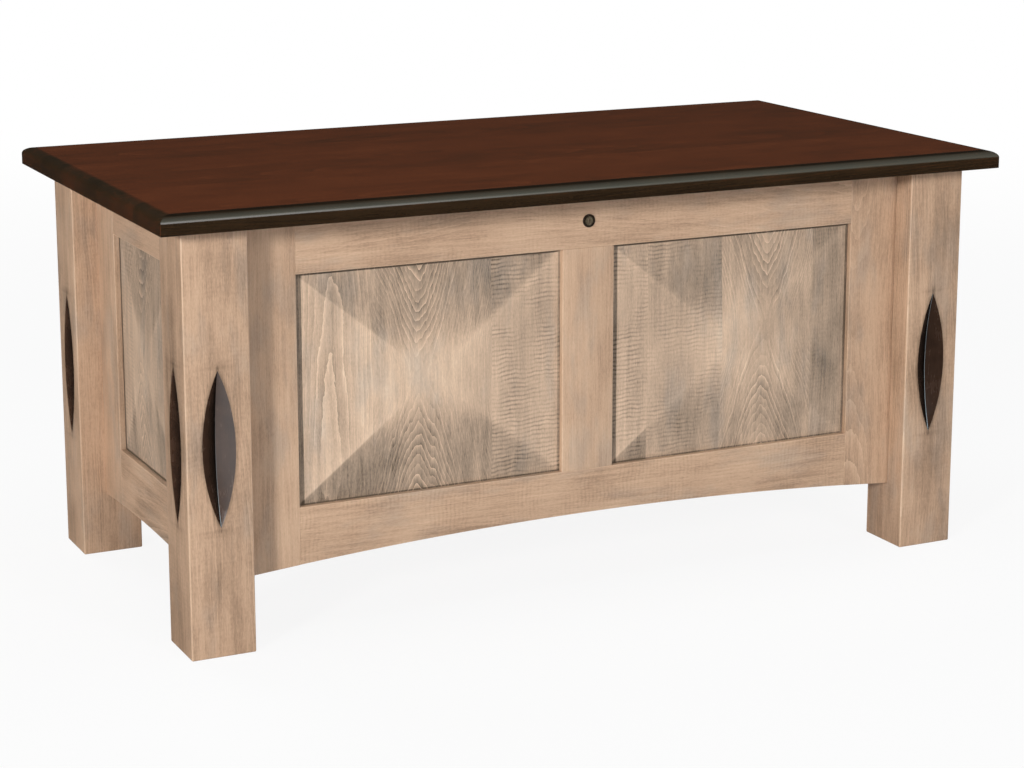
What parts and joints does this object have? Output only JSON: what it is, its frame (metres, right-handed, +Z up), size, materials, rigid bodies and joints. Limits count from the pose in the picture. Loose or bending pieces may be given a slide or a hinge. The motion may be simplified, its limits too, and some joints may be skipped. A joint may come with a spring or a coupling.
{
  "type": "blanket chest",
  "caption": "Blanket chest with square corner posts carved with lens-shaped gouges, framed panels, an arched front rail and a hinged overhanging lid with a cylinder lock.",
  "frame": {"origin": "on the floor, midway between the four posts", "axes": "+X along the chest's length, -Y towards its front, +Z up"},
  "size_m": [1.091, 0.568, 0.5125],
  "materials": {
    "stained_maple": "satin",
    "figured_maple": "satin",
    "plain_maple": "satin",
    "dark_lid": "semi-gloss",
    "cedar": "matte",
    "antique_brass": "satin",
    "dark_bronze": "satin",
    "black_steel": "satin",
    "bright_steel": "satin"
  },
  "bodies": {
    "case": {"back_bottom_rail": "plain_maple", "back_centre_stile": "plain_maple", "back_left_panel": "plain_maple", "back_left_stile": "plain_maple", "back_right_panel": "plain_maple", "back_right_stile": "plain_maple", "back_top_rail": "plain_maple", "case_screws": "antique_brass", "centre_hinge_case_leaf": "antique_brass", "floor_bearer": "plain_maple", "floor_board_1": "cedar", "floor_board_2": "cedar", "floor_board_3": "cedar", "floor_board_4": "cedar", "front_bottom_rail": "stained_maple", "front_centre_stile": "stained_maple", "front_left_panel": "figured_maple", "front_left_post": "stained_maple", "front_left_stile": "stained_maple", "front_right_panel": "figured_maple", "front_right_post": "stained_maple", "front_right_stile": "stained_maple", "front_top_rail": "stained_maple", "hinge_pins": "antique_brass", "left_bottom_rail": "stained_maple", "left_floor_cleat": "plain_maple", "left_front_stile": "stained_maple", "left_hinge_case_leaf": "antique_brass", "left_panel": "figured_maple", "left_rear_stile": "stained_maple", "left_stay_housing": "black_steel", "left_top_rail": "stained_maple", "lock_cylinder": "dark_bronze", "lock_nut": "bright_steel", "rear_left_post": "stained_maple", "rear_right_post": "stained_maple", "right_bottom_rail": "stained_maple", "right_floor_cleat": "plain_maple", "right_front_stile": "stained_maple", "right_hinge_case_leaf": "antique_brass", "right_panel": "figured_maple", "right_rear_stile": "stained_maple", "right_stay_housing": "black_steel", "right_top_rail": "stained_maple", "stay_pivots": "bright_steel"},
    "lid": {"lid": "dark_lid", "lid_screws": "antique_brass", "lock_strike": "bright_steel", "stay_rivets": "bright_steel", "left_hinge_lid_leaf": "antique_brass", "centre_hinge_lid_leaf": "antique_brass", "right_hinge_lid_leaf": "antique_brass", "left_stay_bracket": "black_steel", "right_stay_bracket": "black_steel"},
    "left_lever": {"left_stay_lever": "black_steel"},
    "left_link": {"left_stay_link": "black_steel"},
    "right_lever": {"right_stay_lever": "black_steel"},
    "right_link": {"right_stay_link": "black_steel"},
    "lock_plug": {"lock_plug": "dark_bronze", "lock_cam": "bright_steel"}
  },
  "joints": [
    {"name": "lid_hinge", "type": "hinge", "parent": "case", "child": "lid", "pos_m": [0, 0.256, 0.487], "axis": [-1, 0, 0], "range_deg": [0, 95]},
    {"name": "left_lever_turn", "type": "hinge", "parent": "case", "child": "left_lever", "pos_m": [-0.4478, 0.106, 0.465], "axis": [-1, 0, 0], "range_deg": [0, 95]},
    {"name": "left_link_turn", "type": "hinge", "parent": "left_lever", "child": "left_link", "pos_m": [-0.4433, -0.044, 0.4565], "axis": [-1, 0, 0], "range_deg": [-95, 0]},
    {"name": "right_lever_turn", "type": "hinge", "parent": "case", "child": "right_lever", "pos_m": [0.4478, 0.106, 0.465], "axis": [-1, 0, 0], "range_deg": [0, 95]},
    {"name": "right_link_turn", "type": "hinge", "parent": "right_lever", "child": "right_link", "pos_m": [0.4433, -0.044, 0.4565], "axis": [-1, 0, 0], "range_deg": [-95, 0]},
    {"name": "lock_turn", "type": "hinge", "parent": "case", "child": "lock_plug", "pos_m": [0, -0.2, 0.456], "axis": [0, 1, 0], "range_deg": [0, 90]}
  ],
  "couplings": [
    {"joint": "left_lever_turn", "follows": "lid_hinge", "ratio": 1},
    {"joint": "left_link_turn", "follows": "lid_hinge", "ratio": -1},
    {"joint": "right_lever_turn", "follows": "lid_hinge", "ratio": 1},
    {"joint": "right_link_turn", "follows": "lid_hinge", "ratio": -1}
  ]
}
